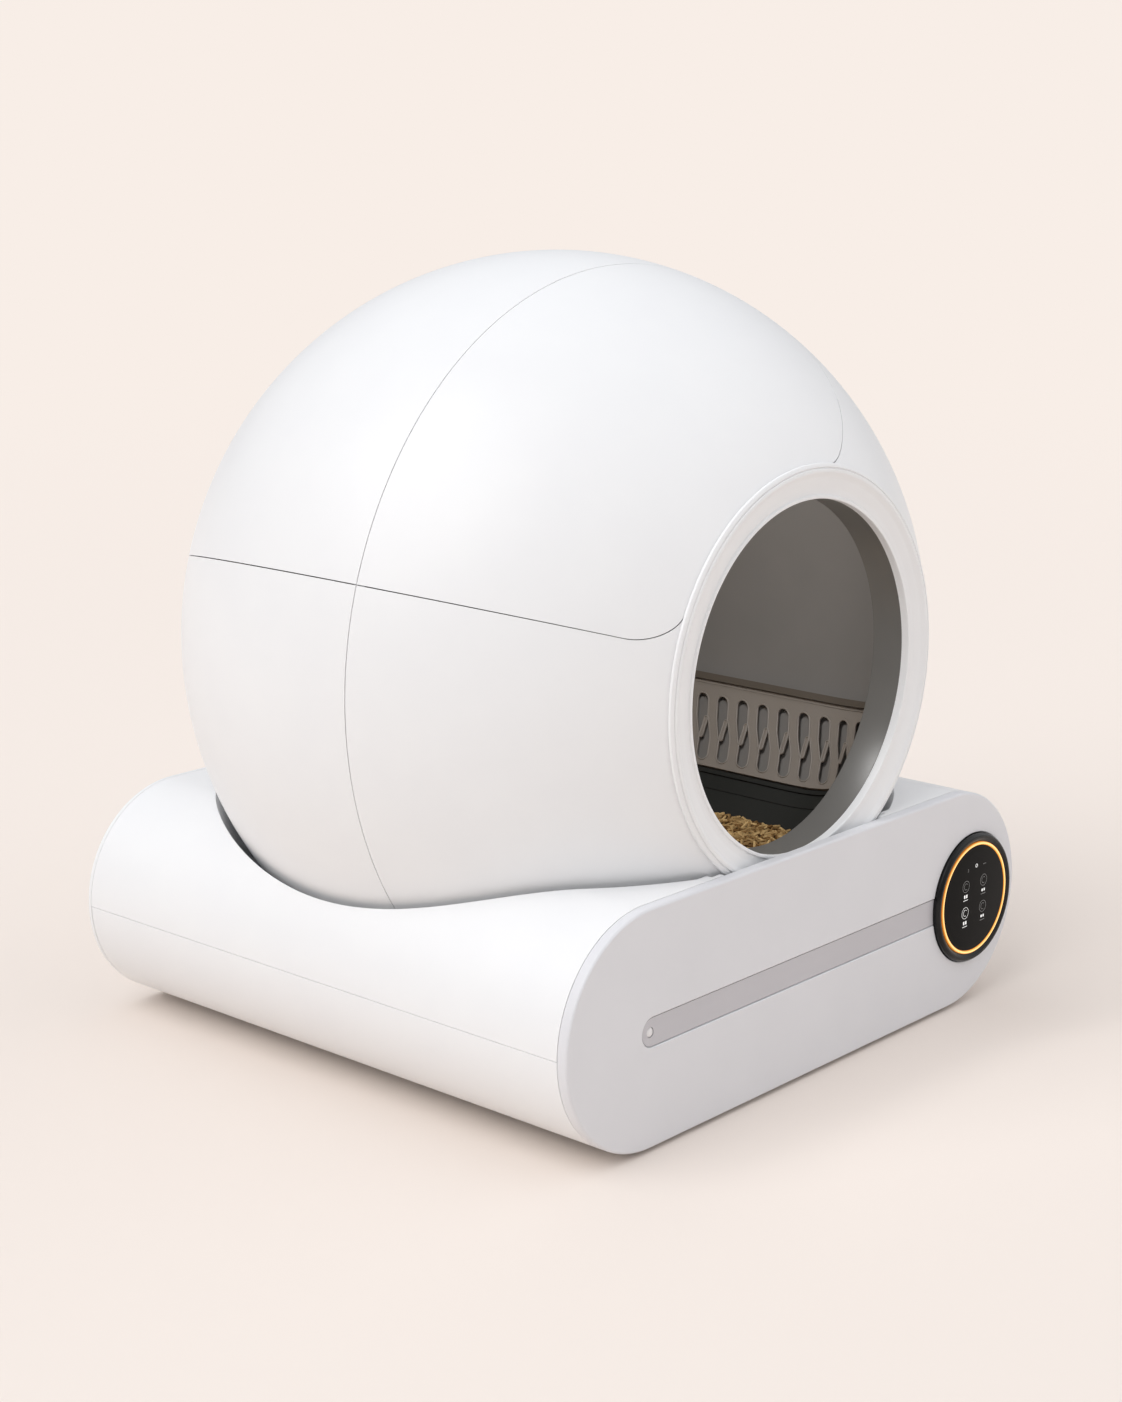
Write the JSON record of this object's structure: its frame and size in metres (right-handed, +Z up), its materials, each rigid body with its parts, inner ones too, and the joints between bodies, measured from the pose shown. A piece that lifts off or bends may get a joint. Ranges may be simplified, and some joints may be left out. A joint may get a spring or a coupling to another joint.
{
  "type": "cat litter box with hood",
  "caption": "Self-cleaning cat litter box: ball-shaped hood with a round entry over a turning drum, on a stadium-shaped base with a waste drawer.",
  "frame": {"origin": "on the floor, under the middle of the object's bounding box (the feet's undersides)", "axes": "+Z up, the entry and the front panel face -Y, +X is the side of the display; the drum turns about a line along Y"},
  "size_m": [0.5576, 0.4822, 0.5663],
  "materials": {
    "white_abs": "satin white ABS, fine mould texture",
    "panel_grey": "satin pale grey ABS",
    "strip_grey": "frosted grey diffuser",
    "drum_taupe": "satin grey-brown polypropylene",
    "sieve_taupe": "satin grey-brown polypropylene",
    "liner_dark": "dull dark silicone liner",
    "collar_grey": "satin dark grey ABS",
    "litter": "tan plant-fibre pellets",
    "display_black": "gloss black",
    "display_glass": "dark smoked acrylic",
    "amber_light": "lit amber light guide",
    "lamp": "clear lens",
    "rubber_grey": "matt rubber",
    "motor_steel": "zinc-plated steel",
    "nylon": "natural nylon",
    "circuit_board": "solder mask",
    "black_plastic": "moulded black",
    "inner_grey": "grey polypropylene"
  },
  "bodies": {
    "base": {"base_lower_shell": "white_abs", "base_upper_cover": "white_abs", "rear_panel": "white_abs", "foot_front_left": "rubber_grey", "foot_front_right": "rubber_grey", "foot_rear_left": "rubber_grey", "foot_rear_right": "rubber_grey", "drawer_rail_left": "nylon", "drawer_rail_right": "nylon", "cradle_deck": "inner_grey", "waste_chute": "inner_grey", "gear_motor": "motor_steel", "motor_bracket": "motor_steel", "control_board": "circuit_board", "power_inlet": "black_plastic", "base_contact_block": "black_plastic", "hood_front_shell": "white_abs", "hood_rear_upper": "white_abs", "hood_rear_lower": "white_abs", "hood_back_plate": "white_abs", "entry_ring": "white_abs", "entry_collar": "collar_grey", "back_plate_screw_1": "motor_steel", "back_plate_screw_2": "motor_steel", "back_plate_screw_3": "motor_steel", "back_plate_screw_4": "motor_steel", "roller_axle_front_right": "motor_steel", "roller_fork_front_right": "nylon", "roller_axle_rear_right": "motor_steel", "roller_fork_rear_right": "nylon", "roller_axle_front_left": "motor_steel", "roller_fork_front_left": "nylon", "roller_axle_rear_left": "motor_steel", "roller_fork_rear_left": "nylon"},
    "drum": {"drum_barrel": "drum_taupe", "drum_back_cap": "drum_taupe", "gear_ring": "nylon", "sieve_plate": "sieve_taupe", "drum_liner": "liner_dark", "litter_bed": "litter"},
    "drawer": {"front_panel": "panel_grey", "drawer_bin": "inner_grey", "light_strip": "strip_grey", "status_led": "lamp", "display_bezel": "display_black", "light_ring": "amber_light", "display_glass": "display_glass", "panel_contact_block": "black_plastic"},
    "hatch": {"hood_hatch": "white_abs"},
    "pinion": {"motor_pinion": "nylon"},
    "roller_front_right": {"roller_front_right": "rubber_grey"},
    "roller_rear_right": {"roller_rear_right": "rubber_grey"},
    "roller_front_left": {"roller_front_left": "rubber_grey"},
    "roller_rear_left": {"roller_rear_left": "rubber_grey"}
  },
  "joints": [
    {"name": "drum_turn", "type": "hinge", "parent": "base", "child": "drum", "pos_m": [0, 0, 0.2875], "axis": [0, 1, 0], "range_deg": [-30, 220]},
    {"name": "pinion_spin", "type": "hinge", "parent": "base", "child": "pinion", "pos_m": [0.07215, 0.1245, 0.06543], "axis": [0, 1, 0], "range_deg": [-2210, 310]},
    {"name": "roller_spin_front_right", "type": "hinge", "parent": "base", "child": "roller_front_right", "pos_m": [0.11737, -0.125, 0.10677], "axis": [0, 1, 0], "range_deg": [-4520, 620]},
    {"name": "roller_spin_rear_right", "type": "hinge", "parent": "base", "child": "roller_rear_right", "pos_m": [0.11737, 0.0905, 0.10677], "axis": [0, 1, 0], "range_deg": [-4520, 620]},
    {"name": "roller_spin_front_left", "type": "hinge", "parent": "base", "child": "roller_front_left", "pos_m": [-0.11737, -0.125, 0.10677], "axis": [0, 1, 0], "range_deg": [-4520, 620]},
    {"name": "roller_spin_rear_left", "type": "hinge", "parent": "base", "child": "roller_rear_left", "pos_m": [-0.11737, 0.0905, 0.10677], "axis": [0, 1, 0], "range_deg": [-4520, 620]},
    {"name": "drawer_slide", "type": "slide", "parent": "base", "child": "drawer", "axis": [0, -1, 0], "range_m": [0, 0.26]},
    {"name": "hatch_lift", "type": "slide", "parent": "base", "child": "hatch", "axis": [-0.3795, 0, 0.9252], "range_m": [0, 0.15]}
  ],
  "couplings": [
    {"joint": "pinion_spin", "follows": "drum_turn", "ratio": -10},
    {"joint": "roller_spin_front_right", "follows": "drum_turn", "ratio": -20.5},
    {"joint": "roller_spin_rear_right", "follows": "drum_turn", "ratio": -20.5},
    {"joint": "roller_spin_front_left", "follows": "drum_turn", "ratio": -20.5},
    {"joint": "roller_spin_rear_left", "follows": "drum_turn", "ratio": -20.5}
  ]
}
